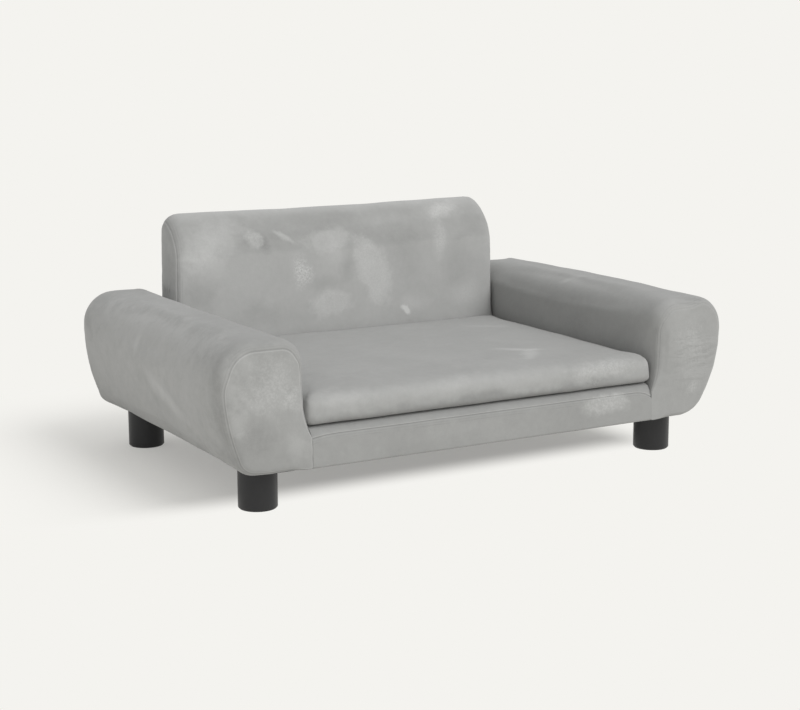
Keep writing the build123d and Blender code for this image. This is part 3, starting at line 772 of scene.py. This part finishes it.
def make_backrest(finish):
    """The backrest, drawn in along its seams and rounded off at its top corners."""
    piece = padded_mesh(
        "backrest",
        back_outline(),
        (lambda a, b: -back_half(a, b), back_half),
        lambda a, b, c: np.stack((c, a, b), 1),
    )
    begun = places(piece)
    off = values(piece, "seam")
    puff(piece, PAD_PRESSURE, BACK_CAP, seam_hold(piece))
    sew(piece, 21)
    co = places(piece)
    x, y, z = co.T
    # Above the cushion, the front is drawn back along its side seams
    drawn = BACK_EASE * np.where(off < 0, np.exp(off / EASE_SIDE), np.exp(-off / EASE_FACE))
    drawn *= 1 - smooth(begun[:, 1], back_low.y + 0.015, back_low.y + 0.045)
    y += drawn * smooth(z, cushion_high.z + 0.01, cushion_high.z + 0.05)
    # The top corners drop as a wider corner would, less what the rim took already
    past = np.abs(x) - back_half(0, z)
    drop = corner_drop(past + BACK_CORNER, BACK_CORNER) - corner_drop(past + BACK_RIM, BACK_RIM)
    z -= drop * smooth(z, back_high.z - 0.085, back_high.z - 0.012)
    y[:] = np.clip(y, back_low.y, back_high.y + BACK_PROUD)
    begun_out = np.abs(begun[:, 0])
    limit = np.where(z < arm_top, begun_out, begun_out + 0.001)
    x[:] = np.sign(x) * np.minimum(np.abs(x), limit)
    z[:] = np.clip(z, underside, back_high.z + BACK_PROUD)
    set_places(piece, co)
    dress(piece, "sofa", "velvet", finish, "back_cover", "back_foam")


def make_seat_box(finish):
    """The low box under the cushion, with a seam under its rounded front edge."""
    piece = padded_mesh(
        "seat_box",
        box_outline(),
        (level(-foot - BOX_TUCK), level(foot + BOX_TUCK)),
        lambda a, b, c: np.stack((c, a, b), 1),
    )
    co = places(piece)
    x, y, z = co.T
    swell = swells(co, (0.05, 0.0005, 41), (0.018, 0.0002, 42))
    on_front = y < front + 0.006
    seam = z - BOX_SEAM
    # The front edge dips toward either arm
    right_end = x > 0
    dip = np.where(right_end, RIGHT_DIP, LEFT_DIP)
    run = np.where(right_end, RIGHT_DIP_RUN, LEFT_DIP_RUN)
    dip = dip * np.clip((np.abs(x) - foot + run) / run, 0, 1) ** 2
    share = smooth(z, underside, box_high.z)
    z -= dip * share * (1 - smooth(y, front + 0.0015, front + DIP_DEEP))
    # Its lip slopes down toward the front, and the deck behind stays over its board
    sloped = 1 - smooth(y, front + 0.008, front + 0.024)
    z -= BOX_SLOPE * sloped * smooth(z, 0.086, 0.097)
    on_deck = (y > front + 0.0075) & (z > FLARE_LOW)
    z[:] = np.where(on_deck, np.maximum(z, BOX_LEDGE), z)
    groove = np.exp(-((seam / 0.0012) ** 2)) * 0.0011 + np.exp(-((seam / 0.005) ** 2)) * 0.0005
    y += np.where(on_front, groove - swell, 0)
    set_places(piece, co)
    set_values(piece, "seam", np.where(on_front & (seam < 0.008), seam, 0.05))
    dress(piece, "sofa", "velvet", finish, "box_cover", "box_foam")


def press_zip_groove(piece):
    """Opens the slot in the cushion's rear edge, down to behind the zip's tapes."""
    tape_low, tape_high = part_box("zip_tapes")
    co = places(piece)
    x, y, z = co.T
    inside = 1 - smooth(np.abs(z - (tape_low.z + tape_high.z) / 2), *ZIP_SLOT)
    inside = inside * (1 - smooth(np.abs(x), tape_high.x, tape_high.x + 0.0015))
    inside = np.where(y > tape_low.y - 0.01, inside, 0)
    y += (tape_low.y - 0.0004 - y) * inside
    set_places(piece, co)


def make_cushion(finish):
    """The loose cushion: its cloth swells over the foam, and it stays flat where it rests."""
    piece = padded_mesh(
        "seat_cushion_pad_cover",
        cushion_outline(),
        (level(cushion_low.z), level(cushion_high.z - CUSHION_CROWN - CUSHION_START)),
        lambda a, b, c: np.stack((a, b, c), 1),
        dome=CUSHION_CROWN,
        dome_run=CROWN_RUN,
        seam=False,
        low_rim=CUSHION_LOW_RIM_SHARE,
    )
    apply(piece, "REMESH", mode="VOXEL", voxel_size=VOXEL)
    lying = 1 - smooth(places(piece)[:, 2], cushion_low.z + 0.003, cushion_low.z + 0.013)
    puff(piece, CUSHION_PRESSURE, CUSHION_CAP, lying)
    co = places(piece)
    co[:, 2] = np.clip(co[:, 2], cushion_low.z, cushion_high.z + CUSHION_PROUD)
    set_places(piece, co)
    apply(piece, "SUBSURF", levels=1, render_levels=1)
    piece.data.shade_smooth()
    co = places(piece)
    co += outward(piece) * swells(co, (0.07, 0.0008, 31), (0.022, 0.00025, 33))[:, None]
    x, y, z = co.T
    x[:] = np.clip(x, -cushion_high.x, cushion_high.x)
    y[:] = np.clip(y, cushion_low.y, cushion_high.y)
    z[:] = np.clip(z, cushion_low.z, cushion_high.z + 0.0015)
    # Its front edge hangs over the box's lip
    hanging = 1 - smooth(y, cushion_low.y + 0.003, cushion_low.y + 0.014)
    z -= OVERHANG * hanging * (1 - smooth(z, 0.102, 0.126))
    set_places(piece, co)
    press_zip_groove(piece)
    dress(piece, "seat_cushion", "velvet", finish, "seat_cushion_cover", "seat_cushion_foam")


BACK_PATCHES = (
    # Painted shade on the backrest's left side, which faces away from the light
    Patch((-250, 180, 235), (14, 60, 90), -0.14, crushed=0),
    upright(-190, 264, 70, 28, -24, 0.21),
    upright(-205, 235, 40, 26, 0, 0.10),
    upright(-128, 264, 15, 13, 0, 0.20, crushed=0.3, edge=0.5),
    upright(-116, 258, 9, 17, 0, -0.12),
    upright(-87, 267, 24, 5, 30, 0.26),
    upright(-64, 220, 15, 27, -12, 0.22, crushed=1.0),
    upright(-21, 256, 40, 16, 0, 0.19, edge=0.4),
    upright(-14, 236, 24, 18, 0, 0.08),
    upright(47, 210, 26, 50, -24, 0.17, crushed=0.3, edge=0.5),
    upright(30, 248, 22, 12, 0, 0.08),
    upright(-20, 170, 33, 19, 0, 0.16, crushed=0.3, edge=0.5),
    upright(99, 150, 6, 9, -20, 0.45, crushed=0, edge=0.4),
    upright(168, 286, 34, 13, 0, 0.26, y=172, crushed=0.3),
    upright(155, 252, 11, 36, 8, 0.14, crushed=0.5),
    upright(67, 278, 44, 10, 0, 0.05, y=160),
    upright(193, 172, 30, 22, 0, 0.12, crushed=0.3),
    upright(112, 160, 26, 15, 0, 0.12),
    upright(-122, 164, 46, 22, 0, -0.12),
    upright(-212, 196, 34, 22, 0, -0.09),
    upright(100, 230, 34, 44, 0, -0.10),
    upright(6, 222, 16, 32, 0, -0.11),
    upright(-32, 200, 32, 14, 0, -0.10),
    upright(180, 210, 24, 44, 0, -0.10),
)
LEFT_ARM_PATCHES = (
    Patch((-350, -63, 115), (30, 80, 12), 0.17, (20, 0, 0), crushed=0),
    Patch((-350, 24, 166), (30, 10, 21), 0.09, crushed=0),
    # Painted light over the left arm's outer side, and painted shade on its rounded front corner
    Patch((-350, 0, 130), (60, 280, 100), 0.20, crushed=0, edge=0.4),
    Patch((-345, -208, 130), (16, 15, 80), -0.12, crushed=0.1),
    upright(-284, 152, 36, 44, 20, 0.14, y=-225, deep=25, crushed=0.5),
    upright(-262, 134, 14, 20, 0, 0.08, y=-225, deep=25, crushed=0.6),
    upright(-318, 178, 18, 14, 0, 0.08, y=-225, deep=25),
    upright(-311, 96, 32, 30, 0, -0.10, y=-225, deep=25),
    upright(-256, 80, 18, 22, 0, 0.10, y=-225, deep=25, crushed=0.2),
    upright(-330, 105, 7, 6, 0, 0.12, y=-225, deep=20, crushed=0.5),
)
RIGHT_ARM_PATCHES = (
    on_top(272, 5, 36, 8, 40, 0.10, z=202),
    upright(302, 140, 36, 44, 0, 0.06, y=-225, deep=25, crushed=0.9),
    upright(304, 88, 11, 9, 0, 0.12, y=-225, deep=20, crushed=0.7),
)
RIGHT_ARM_CREASES = (
    upright(304, 128, 38, 38, 0, 0, y=-225, deep=18, edge=0.5),
    upright(298, 196, 36, 9, 0, 0, y=-214, deep=16, edge=0.3),
)
CUSHION_PATCHES = (
    on_top(107, -120, 42, 10, 31, 0.20, crushed=0),
    on_top(104, -152, 13, 40, 42, 0.20, crushed=0),
    on_top(167, 40, 42, 9, 31, 0.10, crushed=0),
    # A painted highlight along the middle of the cushion's rounded front edge, and painted shade
    # along its lower part
    Patch((0, -219, 126), (300, 22, 16), 0.10),
    Patch((0, -219, 103), (300, 22, 10), -0.20, crushed=0),
    upright(-191, 126, 42, 14, 0, 0.10, y=-218, deep=20),
    upright(-48, 128, 38, 12, 0, 0.06, y=-218, deep=20),
    upright(176, 122, 74, 17, 0, 0.12, y=-218, deep=24, crushed=0.6),
    upright(158, 110, 24, 7, 0, -0.14, y=-218, deep=20, crushed=0.8),
)
BOX_PATCHES = (
    upright(169, 79, 38, 14, 0, 0.20, y=-225, deep=10, crushed=0.4, edge=0.45),
    upright(-60, 74, 100, 12, 0, 0.05, y=-225, deep=10),
)

# Each piece's base tone is partly its own pile tone and partly painted light: the tones differ so
# that each piece shows about as bright as it is lit, the backrest much lighter
left_velvet = velvet("velvet_left", 0.31, 0.24, LEFT_ARM_PATCHES, line=0.10)
right_velvet = velvet("velvet_right", 0.34, 0.22, RIGHT_ARM_PATCHES, RIGHT_ARM_CREASES, line=0.02)
left_outline = arm_outline(LEFT_BOW, LEFT_HEEL, LEFT_RIM, LEFT_OUTER_RIM)
right_outline = arm_outline(RIGHT_BOW, RIGHT_HEEL, RIGHT_RIM, RIGHT_OUTER_RIM)
make_arm("left", -1, left_outline, 1, 1, left_velvet)
make_arm("right", 1, right_outline, 0.4, 11, right_velvet)
make_backrest(velvet("velvet_back", 0.585, 0.28, BACK_PATCHES, line=0.08, roll_painted_shade=0.24))
make_seat_box(velvet("velvet_box", 0.29, 0.22, BOX_PATCHES, line=0.14))
make_cushion(velvet("velvet_cushion", 0.355, 0.2, CUSHION_PATCHES))


# Hard pieces and the sheets
STAPLE_GAPS = (0.032, 0.034)
STAPLE_INSET = 0.005
STAPLE_SKEW = 0.16
STAPLE_SIZE = (0.0096, 0.0009, 0.0004)
SHEET_STEP = 0.004
SHEET_DEEP = 0.00035
SHEET_FOLD = 0.00012
LEG_EDGE, LEG_FLANGE, LEG_SOCKET, LEG_FELT_RIM = 0.0011, 0.0012, 0.005, 0.0016
TURN_PITCH, TURN_RADIUS, TURN_EDGE = 0.0013, 0.0011, 0.00022
HAIR = 1e-5


def deselect():
    """Deselects everything."""
    bpy.ops.object.select_all(action="DESELECT")


def pick(kind, test):
    """Selects only the faces or edges of the open mesh whose middle passes a test."""
    bpy.ops.mesh.select_all(action="DESELECT")
    data = bpy.context.object.data
    mesh = bmesh.from_edit_mesh(data)
    for part in getattr(mesh, kind):
        part.select_set(test(sum((v.co for v in part.verts), Vector()) / len(part.verts)))
    mesh.select_flush(False)
    bmesh.update_edit_mesh(data)


def end_edit(name):
    """Closes the mesh, puts its place into its points and names it."""
    bpy.ops.object.mode_set(mode="OBJECT")
    piece = bpy.context.object
    bpy.ops.object.transform_apply(location=True, rotation=True, scale=True)
    bpy.ops.object.shade_smooth_by_angle(angle=radians(35))
    piece.name = piece.data.name = name
    return piece


def copies(model, name, spots):
    """One piece made of copies of a model, each moved and turned about the upright axis."""
    made = bmesh.new()
    for spot, turn in spots:
        held = len(made.verts)
        made.from_mesh(model.data)
        made.verts.ensure_lookup_table()
        matrix = Matrix.Translation(spot) @ Matrix.Rotation(turn, 4, "Z")
        bmesh.ops.transform(made, matrix=matrix, verts=made.verts[held:])
    mesh = bpy.data.meshes.new(name)
    made.to_mesh(mesh)
    made.free()
    return add_object(name, mesh)


def make_round_leg(which, finish):
    """A turned plastic leg with softened edges and a shallow flange where it meets the sheet."""
    low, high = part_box(f"leg_{which}")
    radius, tall = (high.x - low.x) / 2, high.z - low.z
    deselect()
    bpy.ops.mesh.primitive_cylinder_add(
        vertices=96, radius=radius, depth=tall, location=(low + high) / 2
    )
    bpy.ops.object.mode_set(mode="EDIT")
    pick("edges", lambda middle: middle.z < 0.001 - tall / 2)
    bpy.ops.mesh.bevel(offset=LEG_EDGE, segments=4, affect="EDGES")
    pick("faces", lambda middle: middle.z > tall / 2 - HAIR)
    bpy.ops.mesh.inset(thickness=LEG_FLANGE)
    bpy.ops.transform.translate(value=(0, 0, -0.0002))
    bpy.ops.mesh.inset(thickness=LEG_SOCKET)
    bpy.ops.mesh.extrude_region_move(TRANSFORM_OT_translate={"value": (0, 0, -0.004)})
    pick("faces", lambda middle: middle.z < HAIR - tall / 2)
    bpy.ops.mesh.inset(thickness=LEG_FELT_RIM)
    bpy.ops.mesh.extrude_region_move(TRANSFORM_OT_translate={"value": (0, 0, 0.0004)})
    leg = end_edit(f"round_leg_{which}")
    dress(leg, "sofa", "leg_plastic", finish, f"leg_{which}")


def make_sheet(name, node, finish, wire, outer=1.0):
    """A black sheet, its edges folded in, stapled over an open underside as far out as outer."""
    low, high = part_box(node)
    high.x = min(high.x, outer)
    xs = np.linspace(low.x, high.x, max(8, round((high.x - low.x) / SHEET_STEP)) + 1)
    ys = np.linspace(low.y, high.y, round((high.y - low.y) / SHEET_STEP) + 1)
    x, y = (grid.ravel() for grid in np.meshgrid(xs, ys))
    edge = np.minimum.reduce((x - low.x, high.x - x, y - low.y, high.y - y))
    co = np.stack((x, y, np.zeros(len(x))), 1)
    fold = SHEET_FOLD * (1 - smooth(edge, 0.0095, 0.0125))
    sag = ripple(co, 0.03, 51) * 0.00012 * smooth(edge, 0.004, 0.02)
    co[:, 2] = high.z - SHEET_DEEP - fold + sag
    piece = new_piece(name, co, grid_faces(len(ys), len(xs), len(xs) - 1))
    set_values(piece, "edge", edge)
    dress(piece, "sofa", "dust_sheet", finish, node)
    wide = round((high.x - low.x) / STAPLE_GAPS[0])
    long = round((high.y - low.y) / STAPLE_GAPS[1])
    left, right = low.x + STAPLE_INSET, high.x - STAPLE_INSET
    near, far = low.y + STAPLE_INSET, high.y - STAPLE_INSET
    spots = []
    for count, start, end, turn in (
        (wide, (low.x, near), (high.x, near), 0),
        (wide, (low.x, far), (high.x, far), 0),
        (long, (left, low.y), (left, high.y), pi / 2),
        (long, (right, low.y), (right, high.y), pi / 2),
    ):
        for k in range(count):
            spot = Vector((*start, 0)).lerp(Vector((*end, 0)), (k + 0.5) / count)
            skew = STAPLE_SKEW * sin(7.3 * k + count)
            spots.append(((spot.x, spot.y, low.z + 0.0001), turn + skew))
    staples = copies(wire, f"staples_{name}", spots)
    dress(staples, "sofa", "zinc", ZINC)


def make_staple():
    """One staple's flat wire crown, its ends bent down into the board."""
    deselect()
    bpy.ops.mesh.primitive_cube_add(size=1)
    bpy.ops.object.mode_set(mode="EDIT")
    bpy.ops.mesh.select_all(action="SELECT")
    bpy.ops.transform.resize(value=STAPLE_SIZE)
    for end in (-1, 1):
        pick("faces", lambda middle: middle.x * end > STAPLE_SIZE[0] * 0.49)
        bpy.ops.mesh.extrude_region_move(
            TRANSFORM_OT_translate={"value": (end * 0.0003, 0, 0.0004)}
        )
    return end_edit("staple_wire")


def make_zip_teeth(finish):
    """The zip's coil: rounded turns from either tape by turns, meshed along the middle."""
    low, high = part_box("zip_coil")
    tall, middle = high.z - low.z, (low.z + high.z) / 2
    deselect()
    bpy.ops.mesh.primitive_cylinder_add(
        vertices=8, radius=TURN_RADIUS, depth=tall * 0.62, location=(0, (low.y + high.y) / 2, 0)
    )
    bpy.ops.object.mode_set(mode="EDIT")
    bpy.ops.mesh.select_all(action="SELECT")
    bpy.ops.transform.resize(value=(0.42, 1.15, 1))
    pick("faces", lambda middle: abs(middle.z) > tall * 0.3)
    bpy.ops.mesh.inset(thickness=TURN_EDGE)
    model = end_edit("zip_turn")
    count = int((high.x - low.x - 0.001) / TURN_PITCH)
    lift = tall * 0.19
    spots = [
        ((low.x + TURN_RADIUS + k * TURN_PITCH, 0, middle + (lift if k % 2 else -lift)), 0)
        for k in range(count)
    ]
    teeth = copies(model, "zip_turns", spots)
    bpy.data.objects.remove(model)
    dress(teeth, "seat_cushion", "zip_coil", finish, "zip_coil")


# Plain finishes
def plain(name, colour, roughness, grain=300, depth=0.0002, spread=0.15, metallic=0.0):
    """A hard or plain finish with a fine uneven grain."""
    finish = Finish(name)
    share = finish.place.noise(grain, 4, 0.6)
    dark = tuple(part * (1 - spread) for part in colour)
    light = tuple(min(1, part * (1 + spread)) for part in colour)
    return finish.surface(
        base_color=finish.tint(dark, light, share),
        roughness=share * 0.12 + (roughness - 0.06),
        metallic=metallic,
        normal=finish.bump(share, depth, 0.5),
    )


def moulded_plastic():
    """Black moulded plastic with a fine satin grain and a few light rubs near the floor."""
    finish = Finish("black_plastic")
    place = finish.place
    grain = place.noise(1400, 3, 0.6)
    rub = place.scaled((1, 1, 0.4)).noise(130, 4, 0.7).between(0.6, 0.75)
    near_floor = 1 - place.part("Z").between(0.002, 0.02)
    return finish.surface(
        base_color=finish.tint(
            (0.013, 0.013, 0.014), (0.029, 0.029, 0.030), grain * 0.5 + rub * near_floor * 0.5
        ),
        roughness=grain * 0.14 + 0.36,
        specular_ior_level=0.42,
        normal=finish.bump(grain, 0.00008, 0.5),
    )


def pressed_sheet():
    """Black bonded cloth with its pressed dots, and a thicker fold along its edges."""
    finish = Finish("dust_sheet_cloth")
    place = finish.place
    dots = (place.part("X") * 2600).sine() * (place.part("Y") * 2600).sine()
    dots = dots.between(0.25, 0.75)
    fibre = place.scaled((1, 0.25, 1)).noise(1500, 4, 0.7)
    fold = finish.value("edge").between(0.0095, 0.0115)
    crease = 1 - abs(finish.value("edge") - 0.0105).between(0, 0.0012)
    tone = fibre * 0.6 + (1 - fold) * 0.25 - dots * 0.3 - crease * 0.3
    return finish.surface(
        base_color=finish.tint((0.010, 0.010, 0.011), (0.050, 0.050, 0.052), tone),
        roughness=0.85,
        normal=finish.bump(fibre * 0.6 - dots * 0.8 - crease, 0.0002, 0.6),
    )


def boards(name, dark, light, along):
    """Wood with its grain along one axis, streaks in it and finer pores."""
    finish = Finish(name)
    stretch = [1.0, 1.0, 1.0]
    stretch["XYZ".index(along)] = 0.08
    place = finish.place.shaken(6, 0.006).scaled(stretch)
    rings = (place.noise(34, 3, 0.6) * 46).sine() * 0.5 + 0.5
    pores = place.noise(900, 3, 0.7)
    tone = rings * 0.45 + pores * 0.45 + finish.place.noise(12, 2) * 0.2
    return finish.surface(
        base_color=finish.tint(dark, light, tone),
        roughness=pores * 0.2 + 0.5,
        normal=finish.bump(pores * 0.7 + rings * 0.3, 0.0003, 0.5),
    )


def woven_tape():
    """Zip tape: a close twill across the tape."""
    finish = Finish("woven_zip_tape")
    place = finish.place
    twill = ((place.part("X") + place.part("Z") * 0.5) * 9000).sine() * 0.5 + 0.5
    weft = (place.part("Z") * 12000).sine() * 0.5 + 0.5
    weave = twill * 0.6 + weft * 0.4
    return finish.surface(
        base_color=finish.tint((0.16, 0.16, 0.155), (0.36, 0.36, 0.35), weave),
        roughness=0.85,
        normal=finish.bump(weave, 0.0002, 0.7),
    )


PLASTIC = moulded_plastic()
ZINC = plain("zinc_plate", (0.58, 0.58, 0.56), 0.34, 220, 0.0001, 0.12, metallic=1.0)
for which in ("front_left", "front_right", "rear_left", "rear_right"):
    make_round_leg(which, PLASTIC)

SHEET = pressed_sheet()
wire = make_staple()
make_sheet("sheet_left_arm", "arm_left_dust_sheet", SHEET, wire)
right_heel = heel_start(RIGHT_BOW, RIGHT_HEEL)
make_sheet("sheet_right_arm", "arm_right_dust_sheet", SHEET, wire, right_heel - 0.002)
make_sheet("sheet_seat_box", "box_dust_sheet", SHEET, wire)
bpy.data.objects.remove(wire)
make_zip_teeth(plain("nylon_coil", (0.27, 0.27, 0.262), 0.38, 900, 0.0001))

# Finishes of the solids that stay, by their slot in the record
POPLAR = ((0.45, 0.30, 0.16), (0.72, 0.55, 0.36))
SLOT_FINISHES = {
    "velvet": velvet("velvet_hidden", 0.4),
    "foam": plain("foam_rubber", (0.78, 0.74, 0.62), 0.9, 700, 0.0008),
    "dust_sheet": plain("dust_sheet_plain", (0.02, 0.02, 0.021), 0.9, 1200),
    "plywood": boards("poplar_plywood", *POPLAR, "Y"),
    "hardboard": plain("brown_hardboard", (0.22, 0.13, 0.07), 0.7, 500, 0.0003, 0.3),
    "leg_plastic": PLASTIC,
    "felt": plain("pressed_felt", (0.035, 0.035, 0.036), 0.95, 1500, 0.0006, 0.4),
    "zinc": ZINC,
    "zip_tape": woven_tape(),
    "zip_coil": plain("nylon_strip", (0.27, 0.27, 0.262), 0.38, 900),
}
CROSS_BOARDS = boards("poplar_across", *POPLAR, "X")
slots = {row["node"]: row["material_slot"] for row in frame["record"]["subparts"]}
for title, node in frame["nodes"].items():
    finish = SLOT_FINISHES[slots[title]]
    if slots[title] == "plywood" and (title.startswith("back_") or "front_rail" in title):
        finish = CROSS_BOARDS
    node.data.materials.clear()
    node.data.materials.append(finish)

# Floor, light and camera
PAPER = (0.905, 0.896, 0.863)
FLOOR_RADIUS = 14
SHADOW_SHARE = 0.36
SKY_STRENGTH = 0.62
SUN_STRENGTH, SUN_ANGLE, SUN_FROM = 1.5, 38, (0.5, -1.0, 1.0)
CAMERA_PLACE = (-1.06406, -1.86520, 0.53548)
CAMERA_TURNS = (10.92, 29.76, -0.17)
CAMERA_LENS = 75.77
deselect()
bpy.ops.mesh.primitive_circle_add(vertices=96, radius=FLOOR_RADIUS, fill_type="NGON")
floor = bpy.context.object
floor.name = "floor"
ground = Finish("paper_floor")
x, y = ground.place.part("X"), ground.place.part("Y")
# How far past the sofa its shadow runs: left, right, front and rear, and how sharply
past = [
    (-1 * x - 0.335) * 4.5,
    (x - 0.255) * 11.0,
    (-1 * y - 0.095) * 12.5,
    (y - 0.225) * 3.0,
]
a, b, c, d = (part.maths("MAXIMUM", part, 0) for part in past)
spread = a * a + b * b + c * c + d * d
seen, glossy = ground.start.ray("Camera"), ground.start.ray("Glossy")
glowing = spread.maths("SQRT", spread).between(0, 1) * (1 - SHADOW_SHARE) + SHADOW_SHARE
share = seen.maths("MAXIMUM", seen, glossy) * glowing
lit = ground.start.make("ShaderNodeBsdfDiffuse", None, {"Color": (*PAPER, 1)})
glow = ground.start.make("ShaderNodeEmission", None, {"Color": (*PAPER, 1), "Strength": 1.0})
mixed = ground.start.make("ShaderNodeMixShader", None, {0: share, 1: lit, 2: glow})
ground.start.make("ShaderNodeOutputMaterial", None, {"Surface": mixed})
floor.data.materials.append(ground.material)

world = bpy.data.worlds.new("studio")
bpy.context.scene.world = world
world.use_nodes = True
world.node_tree.nodes.clear()
sky = Socket(world.node_tree)
soft_box = sky.make("ShaderNodeBackground", None, {"Color": (1, 1, 1, 1), "Strength": SKY_STRENGTH})
paper = sky.make("ShaderNodeBackground", None, {"Color": (*PAPER, 1), "Strength": 1.0})
mixed = sky.make("ShaderNodeMixShader", None, {0: sky.ray("Camera"), 1: soft_box, 2: paper})
sky.make("ShaderNodeOutputWorld", None, {"Surface": mixed})

lamp = bpy.data.lights.new("key", "SUN")
lamp.energy = SUN_STRENGTH
lamp.angle = radians(SUN_ANGLE)
key = add_object("key", lamp)
key.rotation_euler = Vector(SUN_FROM).to_track_quat("Z", "Y").to_euler()

lens = bpy.data.cameras.new("camera")
lens.lens = CAMERA_LENS
camera = add_object("camera", lens)
pitch, yaw, roll = (radians(turn) for turn in CAMERA_TURNS)
ahead = Vector((sin(yaw) * cos(pitch), cos(yaw) * cos(pitch), -sin(pitch)))
right = Vector((cos(yaw), -sin(yaw), 0))
up = right.cross(ahead)
turned = (right * cos(roll) + up * sin(roll), up * cos(roll) - right * sin(roll), -ahead)
camera.matrix_world = Matrix.Translation(CAMERA_PLACE) @ Matrix(turned).transposed().to_4x4()
bpy.context.scene.camera = camera

bpy.context.scene.view_settings.view_transform = "Standard"
